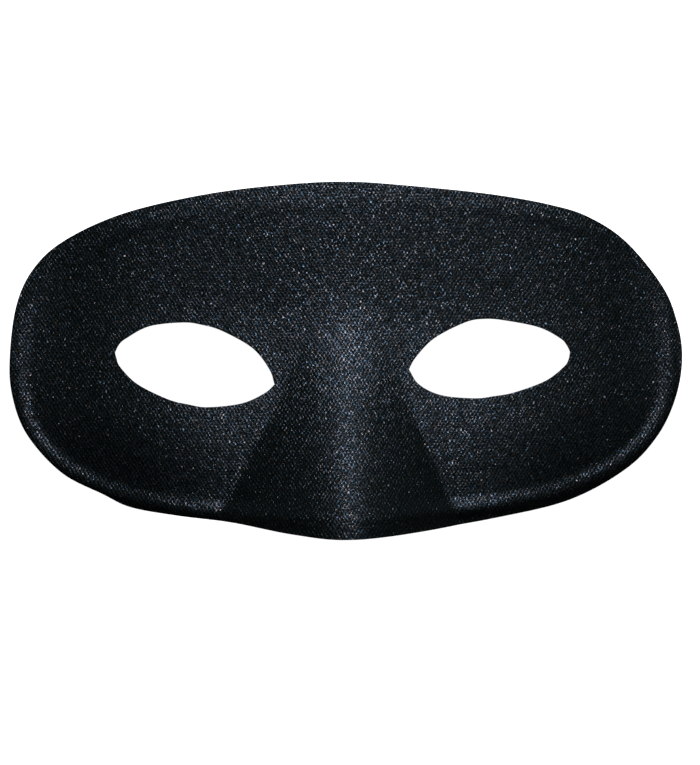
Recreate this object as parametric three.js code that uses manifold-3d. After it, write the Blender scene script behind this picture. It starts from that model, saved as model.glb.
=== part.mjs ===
// A half mask of black cloth bonded to a thin moulded backing. It is pressed as one arched sheet
// with a nose bulge and a bead near its rim, then cut to an oval outline with two almond eye holes.
// Behind each temple a plain flat patch is glued on, where the elastic that holds the mask is fixed.
// Millimetres. X runs across the face, Y up it and Z out of it. The mask lies face up, with the
// cut edge of both temples on Z = 0.
import * as THREE from "three";
import { mergeVertices } from "three/addons/utils/BufferGeometryUtils.js";
import Module from "manifold-3d";

// Cut sheet
const MASK_WIDTH = 180;
const MASK_HEIGHT = 93.4;
const WALL = 1.2;

// Arch of the sheet, from one temple over the brow to the other
const ARCH_RISE = 24;
const TEMPLE_FOOT = 9; // width of each end that flattens out towards the table
const FOOT_SOFTNESS = 6; // height over which the arch eases into that end

// Form line, the oval that the bead follows, this far inside the cut edge and a little askew to it
const TEMPLE_RIM = 2.6;
const BROW_RIM = 5.9;
const FORM_WIDTH = MASK_WIDTH - 2 * TEMPLE_RIM;
const FORM_HEIGHT = MASK_HEIGHT - 2 * BROW_RIM;
const FORM_SQUARENESS = 2.75;
const FORM_SHIFT = -0.6;
const FORM_TURN = 1.2; // degrees, anticlockwise
const FLANGE_SLOPE = 0.12; // how steeply the flange outside the line falls away

// Crown, the pillow form inside the line, and the bead pressed along it. Both are stronger on the
// chin side than on the brow side, and near the temples than in the middle of the brow.
const CHIN_CROWN = 4;
const BROW_CROWN = 1;
const CROWN_REACH = 24;
const CHIN_BEAD = 1.8;
const BROW_BEAD = 0.5;
const BEAD_WIDTH = 7;
const TEMPLE_START = 22; // from here to the sides the temple part sets in, and here it is full
const TEMPLE_FULL = 60;

// Nose bulge, a ridge between two walls. Its foot is a narrow bridge between the eyes and flares
// out below them, a little less on the right than on the left.
const NOSE_SHIFT = -1.8;
const NOSE_ROOT_UP = 25; // above the middle of the mask
const NOSE_RISE = 29; // at the lower end of the ridge
const NOSE_SWELL = 2.2; // how much faster than a straight ridge the nose comes forward
const NOSE_BRIDGE = 14; // half the width of the bridge
const NOSE_FLARE_LEFT = 0.52; // added to that half, for each millimetre below the bridge
const NOSE_FLARE_RIGHT = 0.43;
const NOSE_FLARE_UP = -5;
const NOSE_FLARE_SOFTNESS = 8;
const NOSE_CREST = 8; // rounding of the ridge
const NOSE_FILLET = 1; // height over which the walls ease into the cheeks
const NOSE_CROWN = 0.2; // share of the crown that is left at the lower end of the ridge
const LIP_SLOPE = 0.65; // how steeply the lip under the nose turns back

// Cheeks, a broad low swell that carries the nose and the inner ends of the eyes
const CHEEK_RISE = 5.8;
const CHEEK_LEVEL = 32; // full for this far to each side of the nose, and gone at the reach
const CHEEK_REACH = 68;
const CHEEK_START_UP = 16;
const CHEEK_FULL_UP = -30;

// Eye holes
const LID_RISE = 11.4;
const LID_DROP = 9.5;
const EYES = [
  { across: -41, up: -2.5, length: 42.7, slant: -11.4, upper: "leftUpper", lower: "leftLower" },
  { across: 37, up: -0.4, length: 43.7, slant: 6.2, upper: "rightUpper", lower: "rightLower" },
];

// Patches for the elastic
const PATCH_ACROSS = 9;
const PATCH_UP = 14;
const PATCH_THICKNESS = 1;
const PATCH_FROM_EDGE = 14; // from the cut edge to the middle of the patch
const PATCH_GAP = 0.3;

// Cut outline, clockwise from the left temple, as shares of half the width and half the height
const OUTLINE = [
  { across: -1.0, up: 0.0 },
  { across: -0.98, up: 0.31 },
  { across: -0.927, up: 0.524 },
  { across: -0.835, up: 0.68 },
  { across: -0.67, up: 0.823 },
  { across: -0.45, up: 0.922 },
  { across: -0.233, up: 0.977 },
  { across: -0.015, up: 1.0 },
  { across: 0.204, up: 0.973 },
  { across: 0.426, up: 0.931 },
  { across: 0.596, up: 0.877 },
  { across: 0.711, up: 0.812 },
  { across: 0.828, up: 0.673 },
  { across: 0.94, up: 0.42 },
  { across: 0.986, up: 0.207 },
  { across: 1.0, up: 0.0 },
  { across: 0.98, up: -0.22 },
  { across: 0.925, up: -0.437 },
  { across: 0.828, up: -0.626 },
  { across: 0.653, up: -0.799 },
  { across: 0.426, up: -0.896 },
  { across: 0.198, up: -0.964 },
  { across: -0.026, up: -1.0 },
  { across: -0.183, up: -0.974 },
  { across: -0.342, up: -0.92 },
  { across: -0.505, up: -0.884 },
  { across: -0.641, up: -0.84 },
  { across: -0.723, up: -0.768 },
  { across: -0.846, up: -0.647 },
  { across: -0.947, up: -0.435 },
  { across: -0.991, up: -0.22 },
];

// Lids of each eye hole, from its outer corner at -1 to its inner corner at 1, as shares of
// LID_RISE above the line between the corners and of LID_DROP below it
const LIDS = [
  { along: -1.0, leftUpper: 0.0, leftLower: 0.0, rightUpper: 0.0, rightLower: 0.0 },
  { along: -0.97, leftUpper: 0.2, leftLower: 0.14, rightUpper: 0.15, rightLower: 0.21 },
  { along: -0.9, leftUpper: 0.37, leftLower: 0.37, rightUpper: 0.33, rightLower: 0.4 },
  { along: -0.65, leftUpper: 0.75, leftLower: 0.74, rightUpper: 0.64, rightLower: 0.73 },
  { along: -0.25, leftUpper: 0.99, leftLower: 0.98, rightUpper: 0.88, rightLower: 0.95 },
  { along: 0.0, leftUpper: 1.02, leftLower: 1.01, rightUpper: 0.97, rightLower: 0.99 },
  { along: 0.25, leftUpper: 0.97, leftLower: 0.98, rightUpper: 0.94, rightLower: 0.99 },
  { along: 0.65, leftUpper: 0.72, leftLower: 0.69, rightUpper: 0.65, rightLower: 0.8 },
  { along: 0.9, leftUpper: 0.32, leftLower: 0.29, rightUpper: 0.26, rightLower: 0.44 },
  { along: 1.0, leftUpper: 0.0, leftLower: 0.0, rightUpper: 0.0, rightLower: 0.0 },
];

// Fineness of the faceted sheet
const OUTLINE_STEPS = 600;
const LID_STEPS = 22;
const COLUMNS = 44;
const COLUMN_CROWDING = 0.3; // how much closer the columns stand at the nose
const FAN_RAYS = 24;
const SPINE_SHARE = 0.58; // half the line that the rays start from, as a share of half the width
const FLANGE_RINGS = [0.7, 0.35]; // shares of the way from the form line out to the cut edge
const BEAD_RINGS = [0, 0.17, 0.34, 0.55, 0.9]; // places inside the form line, in bead widths
const CROWN_RINGS = [0.1, 0.21, 0.34, 0.48, 0.64, 0.82, 1]; // shares of the way on to the spine
const SLOPE_STEP = 0.05;

const clamp = (value, low, high) => Math.min(Math.max(value, low), high);

function smoothStep(from, to, value) {
  const share = clamp((value - from) / (to - from), 0, 1);
  return share * share * (3 - 2 * share);
}

// The larger of the value and 0, rounded where the value is within the softness of 0.
function softFloor(value, softness) {
  if (value >= softness) return value;
  if (value <= -softness) return 0;
  return (value + softness) ** 2 / (4 * softness);
}

function archHeight(x) {
  const halfSpan = MASK_WIDTH / 2 - TEMPLE_FOOT;
  const radius = (halfSpan ** 2 + ARCH_RISE ** 2) / (2 * ARCH_RISE);
  const height = Math.sqrt(Math.max(radius ** 2 - x ** 2, 0)) - (radius - ARCH_RISE);
  return softFloor(height, FOOT_SOFTNESS);
}

// How far a place lies inside the form line, in millimetres; negative on the flange outside it.
function formInset(x, y) {
  const n = FORM_SQUARENESS;
  const turn = THREE.MathUtils.degToRad(FORM_TURN);
  const off = x - FORM_SHIFT;
  const across = Math.abs(off * Math.cos(turn) + y * Math.sin(turn)) / (FORM_WIDTH / 2);
  const up = Math.abs(y * Math.cos(turn) - off * Math.sin(turn)) / (FORM_HEIGHT / 2);
  const level = (across ** n + up ** n) ** (1 / n);
  if (level === 0) return FORM_HEIGHT / 2;
  const slopeAcross = (across / level) ** (n - 1) / (FORM_WIDTH / 2);
  const slopeUp = (up / level) ** (n - 1) / (FORM_HEIGHT / 2);
  return (1 - level) / Math.hypot(slopeAcross, slopeUp);
}

// 0 on the chin side of the sheet, 1 on the brow side.
const browShare = (y) => smoothStep(-MASK_HEIGHT / 4, MASK_HEIGHT / 4, y);

// 0 in the middle of the sheet, 1 at both temples.
const templeShare = (x) => smoothStep(TEMPLE_START, TEMPLE_FULL, Math.abs(x));

function crownHeight(x, y, inset) {
  const rise = templeShare(x) * THREE.MathUtils.lerp(CHIN_CROWN, BROW_CROWN, browShare(y));
  return rise * (1 - (1 - clamp(inset / CROWN_REACH, 0, 1)) ** 2);
}

// The bead runs out on the nose's walls and in the middle of the brow.
function beadHeight(x, y, inset) {
  const brow = browShare(y);
  const onNose = clamp(noseSide(x, y), 0, 1) * (1 - brow);
  const height = (CHIN_BEAD * (1 - brow) + BROW_BEAD * brow * templeShare(x)) * (1 - onNose);
  const across = clamp(inset / (BEAD_WIDTH / 2), -1, 1);
  return height * (0.5 + 0.5 * Math.cos(Math.PI * across));
}

function cheekHeight(x, y) {
  const beside = smoothStep(CHEEK_LEVEL, CHEEK_REACH, Math.abs(x - NOSE_SHIFT));
  return CHEEK_RISE * (1 - smoothStep(CHEEK_FULL_UP, CHEEK_START_UP, y)) * (1 - beside);
}

// How far down the nose a place lies, from 0 at its root to 1 at the form line under it.
function noseDrop(y) {
  return Math.max(NOSE_ROOT_UP - y, 0) / (NOSE_ROOT_UP + FORM_HEIGHT / 2);
}

// Half the width of the nose's foot, on the left or the right.
function noseFoot(y, toLeft) {
  const flare = toLeft ? NOSE_FLARE_LEFT : NOSE_FLARE_RIGHT;
  return NOSE_BRIDGE + flare * softFloor(NOSE_FLARE_UP - y, NOSE_FLARE_SOFTNESS);
}

// 1 on the ridge, 0 at the foot of the nose's walls and less outside them.
function noseSide(x, y) {
  const rounded = (distance) => Math.hypot(distance, NOSE_CREST) - NOSE_CREST;
  return 1 - rounded(x - NOSE_SHIFT) / rounded(noseFoot(y, x < NOSE_SHIFT));
}

function noseHeight(x, y, inset) {
  const drop = noseDrop(y);
  if (drop === 0) return 0;
  const ridge = NOSE_RISE * drop ** NOSE_SWELL;
  const lip = y < 0 && inset < 0 ? 1 + (inset * LIP_SLOPE) / NOSE_RISE : 1;
  return softFloor(noseSide(x, y) * ridge, Math.min(NOSE_FILLET, ridge / 2)) * lip;
}

// The share of the crown that a place keeps: all of it, but for the lower part of the nose.
function crownShare(x, y) {
  const drop = noseDrop(y);
  if (drop === 0) return 1;
  return 1 - (1 - NOSE_CROWN) * drop ** 2 * clamp(noseSide(x, y), 0, 1);
}

// Height of the outer face of the sheet above the table.
function sheetHeight(x, y) {
  const inset = formInset(x, y);
  const crown = crownHeight(x, y, inset) * crownShare(x, y);
  const flange = FLANGE_SLOPE * Math.min(inset, 0);
  const rim = crown + flange + beadHeight(x, y, inset);
  const rise = archHeight(x) + rim + cheekHeight(x, y) + noseHeight(x, y, inset);
  return WALL + Math.max(rise, 0);
}

function sheetNormal(x, y) {
  const slopeX = (sheetHeight(x + SLOPE_STEP, y) - sheetHeight(x - SLOPE_STEP, y)) / (2 * SLOPE_STEP);
  const slopeY = (sheetHeight(x, y + SLOPE_STEP) - sheetHeight(x, y - SLOPE_STEP)) / (2 * SLOPE_STEP);
  return new THREE.Vector3(-slopeX, -slopeY, 1).normalize();
}

function outlineLoop() {
  const corners = OUTLINE.map(
    (row) => new THREE.Vector3((row.across * MASK_WIDTH) / 2, (row.up * MASK_HEIGHT) / 2, 0),
  );
  return new THREE.CatmullRomCurve3(corners, true, "catmullrom", 0.5).getPoints(OUTLINE_STEPS);
}

// Distance from a start inside the loop, along a direction, to the loop.
function reachTo(loop, start, direction) {
  let reach = 0;
  for (let i = 0; i + 1 < loop.length; i++) {
    const edge = loop[i + 1].clone().sub(loop[i]);
    const toEdge = loop[i].clone().sub(start);
    const turn = direction.x * edge.y - direction.y * edge.x;
    if (turn === 0) continue;
    const along = (toEdge.x * edge.y - toEdge.y * edge.x) / turn;
    const share = (toEdge.x * direction.y - toEdge.y * direction.x) / turn;
    if (along > 0 && share >= 0 && share <= 1) reach = Math.max(reach, along);
  }
  return reach;
}

// Distance along a ray at which the form line lies, found by halving.
function reachToForm(start, direction, outlineReach) {
  let near = 0;
  let far = outlineReach;
  while (far - near > SLOPE_STEP / 10) {
    const middle = (near + far) / 2;
    const inset = formInset(start.x + direction.x * middle, start.y + direction.y * middle);
    if (inset > 0) near = middle;
    else far = middle;
  }
  return near;
}

// How far a ray on the chin side leans outwards for each millimetre down, so that the rays from
// the bridge's foot follow the nose's walls, and those towards the ends of the spine stand straight.
function rayLean(x, spine) {
  const off = x - NOSE_SHIFT;
  const toLeft = off < 0;
  const lowEnd = -FORM_HEIGHT / 2;
  const wallLean = (noseFoot(lowEnd, toLeft) - NOSE_BRIDGE) / -lowEnd;
  const size = Math.abs(off);
  const towardsEnd = clamp((spine - size) / (spine - NOSE_BRIDGE), 0, 1);
  return Math.sign(off) * wallLean * Math.min(size / NOSE_BRIDGE, towardsEnd);
}

// Rays from the spine to the cut edge, anticlockwise seen from the front: up the right-hand fan,
// back over the brow, down the left-hand fan, and along the chin side.
function sheetRays() {
  const spine = (SPINE_SHARE * MASK_WIDTH) / 2;
  const columnPlace = (i) => {
    const share = (2 * i) / COLUMNS - 1;
    return spine * share * (1 - COLUMN_CROWDING * (1 - share ** 2));
  };
  const rays = [];
  const addRay = (x, angle) =>
    rays.push({
      start: new THREE.Vector3(x, 0, 0),
      direction: new THREE.Vector3(Math.cos(angle), Math.sin(angle), 0),
    });
  const quarter = Math.PI / 2;
  for (let i = 0; i < FAN_RAYS; i++) addRay(spine, quarter * ((2 * i) / FAN_RAYS - 1));
  for (let i = COLUMNS; i > 0; i--) addRay(columnPlace(i), quarter);
  for (let i = 0; i < FAN_RAYS; i++) addRay(-spine, quarter * ((2 * i) / FAN_RAYS + 1));
  for (let i = 0; i < COLUMNS; i++) {
    const x = columnPlace(i);
    addRay(x, Math.atan(rayLean(x, spine)) - quarter);
  }
  return rays;
}

// Distances along one ray of the rings of vertices, from the cut edge in to the spine.
function ringReaches(ray, loop) {
  const edge = reachTo(loop, ray.start, ray.direction);
  const form = Math.min(reachToForm(ray.start, ray.direction, edge), edge - TEMPLE_RIM / 2);
  const flange = FLANGE_RINGS.map((share) => THREE.MathUtils.lerp(form, edge, share));
  const bead = BEAD_RINGS.map((place) => form - place * BEAD_WIDTH);
  const crownStart = bead[bead.length - 1];
  const crown = CROWN_RINGS.map((share) => crownStart * (1 - share));
  return [edge, ...flange, ...bead, ...crown];
}

function solidOf(wasm, geometry) {
  const bare = geometry.clone();
  bare.deleteAttribute("normal");
  bare.deleteAttribute("uv");
  const merged = mergeVertices(bare, 1e-4);
  const corners = merged.index.array;
  const used = [];
  for (let i = 0; i < corners.length; i += 3) {
    const [a, b, c] = corners.slice(i, i + 3);
    if (a !== b && b !== c && c !== a) used.push(a, b, c);
  }
  return new wasm.Manifold(
    new wasm.Mesh({
      numProp: 3,
      vertProperties: merged.attributes.position.array,
      triVerts: new Uint32Array(used),
    }),
  );
}

function geometryOf(solid) {
  const mesh = solid.getMesh();
  return new THREE.BufferGeometry()
    .setAttribute("position", new THREE.BufferAttribute(mesh.vertProperties, 3))
    .setIndex(new THREE.BufferAttribute(mesh.triVerts, 1));
}

// The pressed sheet with its cut edge, before the eye holes: a front and a back face one wall
// apart along the sheet's normal, joined round the edge.
function pressedSheet() {
  const loop = outlineLoop();
  const rays = sheetRays();
  const places = rays.map((ray) =>
    ringReaches(ray, loop).map((reach) => ray.start.clone().addScaledVector(ray.direction, reach)),
  );
  const rings = places[0].length;
  const points = [];
  for (const place of places.flat()) {
    const front = new THREE.Vector3(place.x, place.y, sheetHeight(place.x, place.y));
    const back = front.clone().addScaledVector(sheetNormal(place.x, place.y), -WALL);
    points.push(front, back);
  }
  const corner = (ray, ring, side) => ((ray % rays.length) * rings + ring) * 2 + side;
  const faces = [];
  for (let ray = 0; ray < rays.length; ray++) {
    for (let ring = 0; ring + 1 < rings; ring++) {
      for (const side of [0, 1]) {
        const a = corner(ray, ring, side);
        const b = corner(ray + 1, ring, side);
        const c = corner(ray + 1, ring + 1, side);
        const d = corner(ray, ring + 1, side);
        if (side === 0) faces.push(a, b, c, a, c, d);
        else faces.push(a, c, b, a, d, c);
      }
    }
    const front = corner(ray, 0, 0);
    const back = corner(ray, 0, 1);
    const nextFront = corner(ray + 1, 0, 0);
    const nextBack = corner(ray + 1, 0, 1);
    faces.push(front, back, nextBack, front, nextBack, nextFront);
  }
  return new THREE.BufferGeometry().setFromPoints(points).setIndex(faces);
}

// A straight punch with an eye hole's outline, long enough to pass through the sheet.
function eyePunch(eye) {
  const toNose = eye.across < 0 ? 1 : -1;
  const lid = (column, height) =>
    new THREE.CatmullRomCurve3(
      LIDS.map((row) => new THREE.Vector3((toNose * row.along * eye.length) / 2, row[column] * height, 0)),
      false,
      "catmullrom",
      0.5,
    ).getPoints(LID_STEPS);
  const upper = lid(eye.upper, LID_RISE);
  const lower = lid(eye.lower, -LID_DROP).reverse();
  const outline = [...upper.slice(0, -1), ...lower.slice(0, -1)];
  const turned = new THREE.Matrix4()
    .makeRotationZ(THREE.MathUtils.degToRad(eye.slant))
    .setPosition(eye.across, eye.up, 0);
  const shape = new THREE.Shape(outline.map((point) => point.applyMatrix4(turned)));
  const length = 2 * (ARCH_RISE + CHIN_CROWN + CHEEK_RISE + NOSE_RISE + WALL);
  return new THREE.ExtrudeGeometry(shape, { depth: length, bevelEnabled: false }).translate(
    0,
    0,
    -length / 4,
  );
}

function maskShell(wasm) {
  let shell = solidOf(wasm, pressedSheet());
  for (const eye of EYES) shell = shell.subtract(solidOf(wasm, eyePunch(eye)));
  return geometryOf(shell);
}

// Lies a patch flat behind the sheet, as close as its gap allows at any of its corners.
function seatPatch(patch, x, y) {
  const normal = sheetNormal(x, y);
  const middle = new THREE.Vector3(x, y, sheetHeight(x, y));
  let lowest = 0;
  for (const across of [-1, 0, 1]) {
    for (const up of [-1, 0, 1]) {
      const placeX = x + (across * PATCH_ACROSS) / 2;
      const placeY = y + (up * PATCH_UP) / 2;
      const back = new THREE.Vector3(placeX, placeY, sheetHeight(placeX, placeY));
      back.addScaledVector(sheetNormal(placeX, placeY), -WALL);
      lowest = Math.min(lowest, back.sub(middle).dot(normal));
    }
  }
  patch.quaternion.setFromUnitVectors(new THREE.Vector3(0, 0, 1), normal);
  patch.position.copy(middle).addScaledVector(normal, lowest - PATCH_GAP - PATCH_THICKNESS / 2);
}

const wasm = await Module();
wasm.setup();

const cloth = new THREE.MeshStandardMaterial({ color: 0x15161b, roughness: 0.75, metalness: 0 });
const patchFelt = new THREE.MeshStandardMaterial({ color: 0x101114, roughness: 0.95, metalness: 0 });

const mask = new THREE.Group();

const shell = new THREE.Mesh(maskShell(wasm), cloth);
shell.name = "mask_shell";
mask.add(shell);

for (const [side, direction] of Object.entries({ left: -1, right: 1 })) {
  const block = new THREE.BoxGeometry(PATCH_ACROSS, PATCH_UP, PATCH_THICKNESS);
  const patch = new THREE.Mesh(block, patchFelt);
  patch.name = "elastic_patch_" + side;
  seatPatch(patch, direction * (MASK_WIDTH / 2 - PATCH_FROM_EDGE), 0);
  mask.add(patch);
}

export default mask;
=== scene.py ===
import math

import bmesh
import bpy
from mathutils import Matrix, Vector, geometry


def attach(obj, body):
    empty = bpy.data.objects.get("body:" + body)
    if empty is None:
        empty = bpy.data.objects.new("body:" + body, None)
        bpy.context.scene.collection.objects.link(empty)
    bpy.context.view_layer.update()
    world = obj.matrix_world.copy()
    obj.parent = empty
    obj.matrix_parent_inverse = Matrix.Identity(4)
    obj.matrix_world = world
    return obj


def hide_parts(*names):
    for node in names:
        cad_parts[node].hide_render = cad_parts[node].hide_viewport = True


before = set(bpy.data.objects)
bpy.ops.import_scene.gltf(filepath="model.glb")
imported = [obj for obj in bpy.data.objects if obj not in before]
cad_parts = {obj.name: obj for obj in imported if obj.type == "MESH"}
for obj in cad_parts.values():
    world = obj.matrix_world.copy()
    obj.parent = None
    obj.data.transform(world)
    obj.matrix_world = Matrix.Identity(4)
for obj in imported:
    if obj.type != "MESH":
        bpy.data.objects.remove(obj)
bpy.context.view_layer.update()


# Camera
# The mask lies on its back and the lens looks down on its face from far off. It stands a little
# to the left, so the ridge of the nose shows slightly right of the middle.
camera_data = bpy.data.cameras.new("front_camera")
camera_distance = 1.5
seen_width = 0.1873
camera_data.sensor_fit = "HORIZONTAL"
camera_data.sensor_width = 36
camera_data.lens = camera_data.sensor_width * camera_distance / seen_width
camera = bpy.data.objects.new("front_camera", camera_data)
bpy.context.scene.collection.objects.link(camera)
camera_turn = math.radians(2.5)
aimed_at = Vector((0.0009, -0.0062, 0))
camera.location = aimed_at + camera_distance * Vector((-math.sin(camera_turn), 0, math.cos(camera_turn)))
camera.rotation_euler = (0, -camera_turn, 0)
bpy.context.scene.camera = camera


# Pressed sheet
# Black cloth glued on a thin backing and pressed hot in one mould, which gives the arch, the nose
# and the bead near the rim. The oval and the eye holes are then punched out straight down.
wall = 0.0012
sheet_width = 0.18
sheet_height = 0.0934
half_size = (sheet_width / 2, sheet_height / 2)
arch_rise = 0.024
temple_foot = 0.009
foot_softness = 0.006

# the pressed oval inside the flat rim, its crown and the bead along it
temple_rim = 0.0026
brow_rim = 0.0059
form_width = sheet_width - 2 * temple_rim
form_height = sheet_height - 2 * brow_rim
form_squareness = 2.75
form_shift = -0.0006
form_turn = math.radians(1.2)
flange_slope = 0.12
chin_crown = 0.004
brow_crown = 0.001
crown_reach = 0.024
chin_bead = 0.0018
brow_bead = 0.0005
bead_width = 0.007
temple_start = 0.022
temple_full = 0.06

# the nose, from its root at the brow to its lip at the lower rim
nose_shift = -0.0018
nose_root = 0.025
nose_rise = 0.029
nose_swell = 2.2
nose_bridge = 0.014
nose_flare_left = 0.52
nose_flare_right = 0.43
nose_flare_from = -0.005
nose_flare_softness = 0.008
nose_crest = 0.008
nose_fillet = 0.001
nose_crown = 0.2
lip_slope = 0.65

# the swell of the cheeks below the eyes
cheek_rise = 0.0058
cheek_level = 0.032
cheek_reach = 0.068
cheek_start = 0.016
cheek_full = -0.03


def soft_floor(value, softness):
    if value >= softness:
        return value
    if value <= -softness:
        return 0
    return (value + softness) ** 2 / (4 * softness)


def smooth_step(start, end, value):
    share = min(max((value - start) / (end - start), 0), 1)
    return share * share * (3 - 2 * share)


def form_inset(x, y):
    half_width, half_height, n = form_width / 2, form_height / 2, form_squareness
    off, sine, cosine = x - form_shift, math.sin(form_turn), math.cos(form_turn)
    across, up = abs(off * cosine + y * sine) / half_width, abs(y * cosine - off * sine) / half_height
    level = (across**n + up**n) ** (1 / n)
    if level == 0:
        return half_height
    slope_across = (across / level) ** (n - 1) / half_width
    slope_up = (up / level) ** (n - 1) / half_height
    return (1 - level) / math.hypot(slope_across, slope_up)


def nose_side(x, y):
    flare = nose_flare_left if x < nose_shift else nose_flare_right
    foot = nose_bridge + flare * soft_floor(nose_flare_from - y, nose_flare_softness)
    fall = math.hypot(x - nose_shift, nose_crest) - nose_crest
    whole_fall = math.hypot(foot, nose_crest) - nose_crest
    return 1 - fall / whole_fall


def pressed_height(x, y):
    inset = form_inset(x, y)
    half_span = sheet_width / 2 - temple_foot
    radius = (half_span**2 + arch_rise**2) / (2 * arch_rise)
    arch = soft_floor(math.sqrt(max(radius**2 - x**2, 0)) - (radius - arch_rise), foot_softness)
    upper = smooth_step(-half_size[1] / 2, half_size[1] / 2, y)
    at_temple = smooth_step(temple_start, temple_full, abs(x))
    crown_rise = at_temple * (chin_crown + (brow_crown - chin_crown) * upper)
    crown = crown_rise * (1 - (1 - min(max(inset / crown_reach, 0), 1)) ** 2)
    flange = flange_slope * min(inset, 0)
    across_bead = min(max(inset / (bead_width / 2), -1), 1)
    on_nose = min(max(nose_side(x, y), 0), 1) * (1 - upper)
    bead_height = (chin_bead * (1 - upper) + brow_bead * upper * at_temple) * (1 - on_nose)
    bead = bead_height * (0.5 + 0.5 * math.cos(math.pi * across_bead))
    beside_nose = smooth_step(cheek_level, cheek_reach, abs(x - nose_shift))
    cheek = cheek_rise * (1 - smooth_step(cheek_full, cheek_start, y)) * (1 - beside_nose)
    nose = 0
    drop = max(nose_root - y, 0) / (nose_root + form_height / 2)
    if drop > 0:
        side = nose_side(x, y)
        ridge = nose_rise * drop**nose_swell
        lip = 1 + inset * lip_slope / nose_rise if y < 0 and inset < 0 else 1
        nose = soft_floor(side * ridge, min(nose_fillet, ridge / 2)) * lip
        crown *= 1 - (1 - nose_crown) * drop**2 * min(max(side, 0), 1)
    return wall + max(arch + crown + flange + bead + cheek + nose, 0)


def smooth_line(corners, steps, closed):
    count = len(corners)
    line = []
    for i in range(count if closed else count - 1):
        here, there = corners[i], corners[(i + 1) % count]
        before = corners[i - 1] if closed or i > 0 else 2 * here - there
        after = corners[(i + 2) % count] if closed or i + 2 < count else 2 * there - here
        leaving, arriving = here + (there - before) / 6, there - (after - here) / 6
        line += geometry.interpolate_bezier(here, leaving, arriving, there, steps + 1)[:-1]
    return line if closed else line + [corners[-1]]


# shares of half the width and half the height, clockwise from the left temple
cut_outline = [
    (-1.0, 0.0), (-0.98, 0.31), (-0.927, 0.524), (-0.835, 0.68), (-0.67, 0.823), (-0.45, 0.922),
    (-0.233, 0.977), (-0.015, 1.0), (0.204, 0.973), (0.426, 0.931), (0.596, 0.877), (0.711, 0.812),
    (0.828, 0.673), (0.94, 0.42), (0.986, 0.207), (1.0, 0.0), (0.98, -0.22), (0.925, -0.437),
    (0.828, -0.626), (0.653, -0.799), (0.426, -0.896), (0.198, -0.964), (-0.026, -1.0),
    (-0.183, -0.974), (-0.342, -0.92), (-0.505, -0.884), (-0.641, -0.84), (-0.723, -0.768),
    (-0.846, -0.647), (-0.947, -0.435), (-0.991, -0.22),
]
outline_steps = 20
outline_corners = [Vector((u * half_size[0], v * half_size[1], 0)) for u, v in cut_outline]
outline = smooth_line(outline_corners, outline_steps, closed=True)

# place along the eye from its outer corner, then the upper and lower lid of the left and the right eye
lids = [
    (-1.0, 0.0, 0.0, 0.0, 0.0), (-0.97, 0.2, 0.14, 0.15, 0.21), (-0.9, 0.37, 0.37, 0.33, 0.4),
    (-0.65, 0.75, 0.74, 0.64, 0.73), (-0.25, 0.99, 0.98, 0.88, 0.95), (0.0, 1.02, 1.01, 0.97, 0.99),
    (0.25, 0.97, 0.98, 0.94, 0.99), (0.65, 0.72, 0.69, 0.65, 0.8), (0.9, 0.32, 0.29, 0.26, 0.44),
    (1.0, 0.0, 0.0, 0.0, 0.0),
]
lid_rise = 0.0114
lid_drop = 0.0095
lid_steps = 7


def eye_line(column, centre, length, slant, to_nose):
    upper = [Vector((to_nose * row[0] * length / 2, row[column] * lid_rise, 0)) for row in lids]
    lower = [Vector((to_nose * row[0] * length / 2, -row[column + 1] * lid_drop, 0)) for row in lids]
    upper_lid = smooth_line(upper, lid_steps, closed=False)
    lower_lid = smooth_line(lower, lid_steps, closed=False)
    turn = math.radians(slant)
    return [
        Vector((centre[0] + p.x * math.cos(turn) - p.y * math.sin(turn),
                centre[1] + p.x * math.sin(turn) + p.y * math.cos(turn), 0))
        for p in upper_lid[:-1] + lower_lid[:0:-1]
    ]


left_eye = eye_line(column=1, centre=(-0.041, -0.0025), length=0.0427, slant=-11.4, to_nose=1)
right_eye = eye_line(column=3, centre=(0.037, -0.0004), length=0.0437, slant=6.2, to_nose=-1)

# the flat cut sheet, with a narrow band of faces along its rims
flat_enough = 0.01
rim_band_width = 0.0005
sheet = bmesh.new()
for loop in (outline, left_eye, right_eye):
    corners = [sheet.verts.new(point) for point in loop]
    for i, corner in enumerate(corners):
        sheet.edges.new((corner, corners[(i + 1) % len(corners)]))
bmesh.ops.triangle_fill(sheet, edges=sheet.edges[:], use_beauty=True)
bmesh.ops.dissolve_limit(sheet, angle_limit=flat_enough, verts=sheet.verts[:], edges=sheet.edges[:])
rim_band = bmesh.ops.inset_region(
    sheet, faces=sheet.faces[:], thickness=rim_band_width, use_even_offset=True
)
rim_faces = set(rim_band["faces"])

# lines of the fine net that lets the flat sheet take the form of the mould
net_step = 0.0008
net_snap = 0.00004


def once_each(items):
    """Keeps the items in their order, so that the mesh is made the same way in each run."""
    return list(dict.fromkeys(items))


for axis, half in ((0, half_size[0]), (1, half_size[1])):
    lines = math.floor(half / net_step)
    for i in range(-lines, lines + 1):
        point = Vector((0, 0, 0))
        point[axis] = i * net_step
        normal = Vector((0, 0, 0))
        normal[axis] = 1
        middle = [face for face in sheet.faces if face not in rim_faces]
        edges = once_each(edge for face in middle for edge in face.edges)
        corners = once_each(corner for face in middle for corner in face.verts)
        bmesh.ops.bisect_plane(
            sheet, geom=middle + edges + corners, dist=net_snap, plane_co=point, plane_no=normal
        )

for corner in sheet.verts:
    corner.co.z = pressed_height(corner.co.x, corner.co.y)


def steepness(x, y):
    step = 0.00005
    slope_x = (pressed_height(x + step, y) - pressed_height(x - step, y)) / (2 * step)
    slope_y = (pressed_height(x, y + step) - pressed_height(x, y - step)) / (2 * step)
    return math.sqrt(1 + slope_x**2 + slope_y**2)


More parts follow.
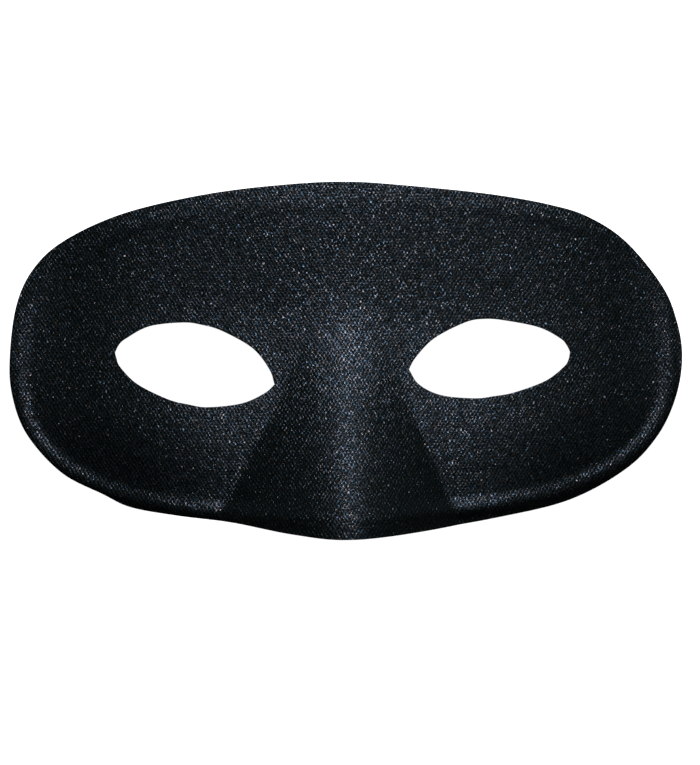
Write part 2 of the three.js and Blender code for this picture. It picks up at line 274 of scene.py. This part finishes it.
# the cloth is the upper skin of the wall and the backing the rest of it
cloth_skin = 0.0004
lower_side = sheet.faces[:]
backing_faces = []
for depth, is_cloth in ((cloth_skin, True), (wall - cloth_skin, False)):
    known = set(sheet.faces)
    layer = lower_side + once_each(edge for face in lower_side for edge in face.edges)
    grown = bmesh.ops.extrude_face_region(sheet, geom=layer, use_keep_orig=is_cloth)["geom"]
    lower_side = [item for item in grown if isinstance(item, bmesh.types.BMFace)]
    for corner in once_each(corner for face in lower_side for corner in face.verts):
        corner.co.z = max(corner.co.z - depth * steepness(corner.co.x, corner.co.y), 0)
    if not is_cloth:
        backing_faces = [face for face in sheet.faces if face not in known]
for face in backing_faces:
    face.material_index = 1

# the walls are made in no fixed order, so edges and faces are put in the order of their corners
sheet.verts.index_update()
for parts in (sheet.edges, sheet.faces):
    in_order = sorted(parts, key=lambda part: sorted(corner.index for corner in part.verts))
    for number, part in enumerate(in_order):
        part.index = number
    parts.sort()
bmesh.ops.recalc_face_normals(sheet, faces=sheet.faces[:])

# the cut edges of the cloth are a little soft
sharp_turn = 0.7
least_rise = 0.3
cloth_round = 0.00018
upper_edges = [
    edge for edge in sheet.edges
    if len(edge.link_faces) == 2 and edge.calc_face_angle(0) > sharp_turn
    and max(face.normal.z for face in edge.link_faces) > least_rise
]
bmesh.ops.bevel(
    sheet, geom=upper_edges, offset=cloth_round, segments=2, profile=0.5, affect="EDGES", material=-1,
    clamp_overlap=True,
)
for face in sheet.faces:
    face.smooth = True

mask_mesh = bpy.data.meshes.new("pressed_mask")
sheet.to_mesh(mask_mesh)
sheet.free()
mask_mesh.set_sharp_from_angle(angle=math.radians(40))
pressed_mask = bpy.data.objects.new("pressed_mask", mask_mesh)
bpy.context.scene.collection.objects.link(pressed_mask)


def node_maker(material):
    """Empties the material's node tree and returns a call that adds one node to it.

    The call takes the node's kind, its own settings, and a value or another node's output for each
    of its inputs. An input is named, with _ for a space, or numbered from i0.
    """
    material.use_nodes = True
    nodes = material.node_tree.nodes
    nodes.clear()

    def add(kind, settings=None, **inputs):
        node = nodes.new(kind)
        for name, value in (settings or {}).items():
            setattr(node, name, value)
        for name, value in inputs.items():
            by_number = name[0] == "i" and name[1:].isdigit()
            socket = node.inputs[int(name[1:]) if by_number else name.replace("_", " ")]
            if isinstance(value, bpy.types.NodeSocket):
                material.node_tree.links.new(value, socket)
            else:
                socket.default_value = value
        return node

    return add


# The cloth is a close black weave with a faint gloss. Its thread crowns stand in staggered rows.
# Fibres that lie turned on them catch the light as specks, some bluish and some greyish.
thread_wander = 0.0012
crown_pitch_x = 0.0005
crown_pitch_y = 0.00078
gap_level = -0.7
crown_level = 0.4
crown_roundness = 0.3
least_turn = 0.16
turn_growth = 3
bluish_fibre = (0.28, 0.58, 1, 1)
greyish_fibre = (0.93, 0.83, 0.86, 1)
# the gaps between the thread crowns carry painted shade: a darker black than the crowns, and a metallic
# share with a dark base so they reflect little
painted_gap_shade_colour = (0.0003, 0.0013, 0.0005, 1)
crown_black = (0.0006, 0.0026, 0.0008, 1)
gap_roughness = 0.6
crown_roughness = 0.37
painted_gap_shade_metallic = 0.75
black_cloth = bpy.data.materials.new("black_cloth")
add = node_maker(black_cloth)
place = add("ShaderNodeTexCoord").outputs["Object"]
wander = add("ShaderNodeTexNoise", Vector=place, Scale=260.0, Detail=2.0, Roughness=0.5)
wander_both_ways = add(
    "ShaderNodeVectorMath", {"operation": "SUBTRACT"}, i0=wander.outputs["Color"], i1=(0.5, 0.5, 0.5)
)
wander_size = add(
    "ShaderNodeVectorMath", {"operation": "SCALE"}, i0=wander_both_ways.outputs[0], Scale=thread_wander
)
threaded = add("ShaderNodeVectorMath", {"operation": "ADD"}, i0=place, i1=wander_size.outputs[0])
axes = add("ShaderNodeSeparateXYZ", Vector=threaded.outputs[0])
turn_x = add(
    "ShaderNodeMath", {"operation": "MULTIPLY"}, i0=axes.outputs["X"], i1=math.pi / crown_pitch_x
)
turn_y = add(
    "ShaderNodeMath", {"operation": "MULTIPLY"}, i0=axes.outputs["Y"], i1=math.pi / crown_pitch_y
)
wave_x = add("ShaderNodeMath", {"operation": "COSINE"}, i0=turn_x.outputs[0])
wave_y = add("ShaderNodeMath", {"operation": "COSINE"}, i0=turn_y.outputs[0])
crowns = add("ShaderNodeMath", {"operation": "MULTIPLY"}, i0=wave_x.outputs[0], i1=wave_y.outputs[0])
crown_share = add(
    "ShaderNodeMapRange", {"interpolation_type": "SMOOTHSTEP"}, Value=crowns.outputs[0],
    i1=gap_level, i2=crown_level, i3=0.0, i4=1.0,
)
dome = add(
    "ShaderNodeMath", {"operation": "MULTIPLY_ADD"}, i0=crowns.outputs[0], i1=crown_roundness,
    i2=crown_share.outputs[0],
)
specks = add("ShaderNodeTexVoronoi", Vector=threaded.outputs[0], Scale=3000.0)
either_way = add(
    "ShaderNodeVectorMath", {"operation": "SUBTRACT"}, i0=specks.outputs["Color"], i1=(0.5, 0.5, 0.5)
)
squared = add(
    "ShaderNodeVectorMath", {"operation": "MULTIPLY"}, i0=either_way.outputs[0], i1=either_way.outputs[0]
)
few_turn_far = add(
    "ShaderNodeVectorMath", {"operation": "MULTIPLY_ADD"}, i0=squared.outputs[0],
    i1=(turn_growth, turn_growth, turn_growth), i2=(least_turn, least_turn, least_turn),
)
fibre_turn = add(
    "ShaderNodeVectorMath", {"operation": "MULTIPLY"}, i0=few_turn_far.outputs[0],
    i1=either_way.outputs[0],
)
speck_dye = add("ShaderNodeTexWhiteNoise", Vector=specks.outputs["Position"])
fibre_tint = add("ShaderNodeMix", {"data_type": "RGBA"}, Factor=speck_dye.outputs["Value"])
fibre_tint.inputs[6].default_value = bluish_fibre
fibre_tint.inputs[7].default_value = greyish_fibre
facing = add("ShaderNodeNewGeometry").outputs["Normal"]
tilted = add("ShaderNodeVectorMath", {"operation": "ADD"}, i0=facing, i1=fibre_turn.outputs[0])
straightened = add("ShaderNodeVectorMath", {"operation": "NORMALIZE"}, i0=tilted.outputs[0])
weave = add("ShaderNodeBump", Height=dome.outputs[0], Distance=0.00006, Normal=straightened.outputs[0])
# thread colour with painted shade: the gaps are coloured darker than the crowns
thread_and_gap_shade_colour = add("ShaderNodeMix", {"data_type": "RGBA"}, Factor=crown_share.outputs[0])
thread_and_gap_shade_colour.inputs[6].default_value = painted_gap_shade_colour
thread_and_gap_shade_colour.inputs[7].default_value = crown_black
gloss = add(
    "ShaderNodeMapRange", Value=crown_share.outputs[0], i1=0.0, i2=1.0, i3=gap_roughness,
    i4=crown_roughness,
)
# painted shade in the gaps: metallic over a near-black base keeps them from reflecting the lamps
painted_gap_shade_map = add(
    "ShaderNodeMapRange", Value=crown_share.outputs[0], i1=0.0, i2=1.0, i3=painted_gap_shade_metallic, i4=0.0
)
cloth_shader = add(
    "ShaderNodeBsdfPrincipled", Base_Color=thread_and_gap_shade_colour.outputs[2], Roughness=gloss.outputs[0],
    Specular_IOR_Level=0.8, Specular_Tint=fibre_tint.outputs[2], Normal=weave.outputs[0],
    Metallic=painted_gap_shade_map.outputs[0],
)
add("ShaderNodeOutputMaterial", Surface=cloth_shader.outputs[0])

# The backing is a dull black moulded sheet with a slightly uneven face.
backing_black = (0.006, 0.006, 0.006, 1)
backing_grey = (0.018, 0.018, 0.019, 1)
black_backing = bpy.data.materials.new("black_backing")
add = node_maker(black_backing)
place = add("ShaderNodeTexCoord").outputs["Object"]
fibres = add("ShaderNodeTexNoise", Vector=place, Scale=900.0, Detail=4.0, Roughness=0.6)
fibre_bump = add("ShaderNodeBump", Height=fibres.outputs[0], Distance=0.00006)
fibre_colour = add("ShaderNodeMix", {"data_type": "RGBA"}, Factor=fibres.outputs[0])
fibre_colour.inputs[6].default_value = backing_black
fibre_colour.inputs[7].default_value = backing_grey
backing_shader = add(
    "ShaderNodeBsdfPrincipled", Base_Color=fibre_colour.outputs[2], Roughness=0.8,
    Specular_IOR_Level=0.3, Normal=fibre_bump.outputs[0],
)
add("ShaderNodeOutputMaterial", Surface=backing_shader.outputs[0])
mask_mesh.materials.append(black_cloth)
mask_mesh.materials.append(black_backing)
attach(pressed_mask, "root")
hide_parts("mask_shell")


# Elastic patches
# Behind each temple a small piece of black felt is glued flat on the backing. The ends of the
# elastic are fixed to it. It was cut with scissors, so its corners and rims are only a little soft.
felt_round = 0.00018
felt_black = (0.004, 0.004, 0.0045, 1)
felt_grey = (0.016, 0.016, 0.018, 1)
hair_share = 0.4
same_place = 0.000001
for side in ("left", "right"):
    patch_form = bmesh.new()
    patch_form.from_mesh(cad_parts["elastic_patch_" + side].data)
    bmesh.ops.remove_doubles(patch_form, verts=patch_form.verts[:], dist=same_place)
    bmesh.ops.dissolve_limit(
        patch_form, angle_limit=flat_enough, verts=patch_form.verts[:], edges=patch_form.edges[:]
    )
    bmesh.ops.bevel(
        patch_form, geom=patch_form.edges[:], offset=felt_round, segments=3, profile=0.5, affect="EDGES",
        material=-1,
    )
    for face in patch_form.faces:
        face.smooth = True
    patch_mesh = bpy.data.meshes.new("felt_patch_" + side)
    patch_form.to_mesh(patch_mesh)
    patch_form.free()
    patch_mesh.set_sharp_from_angle(angle=math.radians(50))
    felt_patch = bpy.data.objects.new("felt_patch_" + side, patch_mesh)
    bpy.context.scene.collection.objects.link(felt_patch)

    # matted black wool, with short fibres that lie every way and catch a little light
    black_felt = bpy.data.materials.new("black_felt_" + side)
    add = node_maker(black_felt)
    place = add("ShaderNodeTexCoord").outputs["Object"]
    tangle = add(
        "ShaderNodeTexNoise", Vector=place, Scale=700.0, Detail=5.0, Roughness=0.7, Distortion=1.2
    )
    hairs = add("ShaderNodeTexWave", Vector=place, Scale=300.0, Distortion=22.0, Detail=3.0, i4=1.6)
    nap = add(
        "ShaderNodeMath", {"operation": "MULTIPLY_ADD"}, i0=hairs.outputs[1], i1=hair_share,
        i2=tangle.outputs[0],
    )
    nap_bump = add("ShaderNodeBump", Height=nap.outputs[0], Distance=0.00015)
    wool = add("ShaderNodeMix", {"data_type": "RGBA"}, Factor=nap.outputs[0])
    wool.inputs[6].default_value = felt_black
    wool.inputs[7].default_value = felt_grey
    felt_shader = add(
        "ShaderNodeBsdfPrincipled", Base_Color=wool.outputs[2], Roughness=0.95, Specular_IOR_Level=0.2,
        Normal=nap_bump.outputs[0],
    )
    add("ShaderNodeOutputMaterial", Surface=felt_shader.outputs[0])
    patch_mesh.materials.append(black_felt)
    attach(felt_patch, "root")
    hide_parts("elastic_patch_" + side)


# Table and light
# A pale plain table lies under the mask. One soft lamp stands above the brow, a weaker one by the
# lens, and a faint one on either side below the temples.
table_reach = 3
table_form = bmesh.new()
bmesh.ops.create_grid(table_form, x_segments=1, y_segments=1, size=table_reach)
table_mesh = bpy.data.meshes.new("pale_table")
table_form.to_mesh(table_mesh)
table_form.free()
pale_table = bpy.data.objects.new("pale_table", table_mesh)
bpy.context.scene.collection.objects.link(pale_table)
table_paint = bpy.data.materials.new("pale_table")
add = node_maker(table_paint)
table_shader = add(
    "ShaderNodeBsdfPrincipled", Base_Color=(0.85, 0.85, 0.85, 1), Roughness=0.9, Specular_IOR_Level=0.1,
    Emission_Color=(1, 1, 1, 1), Emission_Strength=1.0,
)
add("ShaderNodeOutputMaterial", Surface=table_shader.outputs[0])
table_mesh.materials.append(table_paint)

# the table throws no light back on the mask
pale_table.visible_glossy = False
pale_table.visible_diffuse = False

lit_place = Vector((0, 0, 0.02))
room_light = 0.015


def soft_lamp(name, place, size, power):
    lamp_data = bpy.data.lights.new(name, "AREA")
    lamp_data.shape = "DISK"
    lamp_data.size = size
    lamp_data.energy = power
    lamp = bpy.data.objects.new(name, lamp_data)
    lamp.location = place
    lamp.rotation_euler = (lit_place - Vector(place)).to_track_quat("-Z", "Y").to_euler()
    bpy.context.scene.collection.objects.link(lamp)


soft_lamp("brow_lamp", place=(0.12, 0.97, 0.82), size=0.32, power=18.5)
soft_lamp("lens_lamp", place=(0.15, 0.1, 1.9), size=0.4, power=1.65)
soft_lamp("right_lamp", place=(1.0, -0.45, 1.0), size=0.5, power=0.75)
soft_lamp("left_lamp", place=(-1.0, -0.45, 1.0), size=0.5, power=0.5)
room = bpy.data.worlds.new("room")
room.use_nodes = True
room.node_tree.nodes["Background"].inputs["Color"].default_value = (1, 1, 1, 1)
room.node_tree.nodes["Background"].inputs["Strength"].default_value = room_light
bpy.context.scene.world = room
bpy.context.scene.view_settings.view_transform = "Standard"
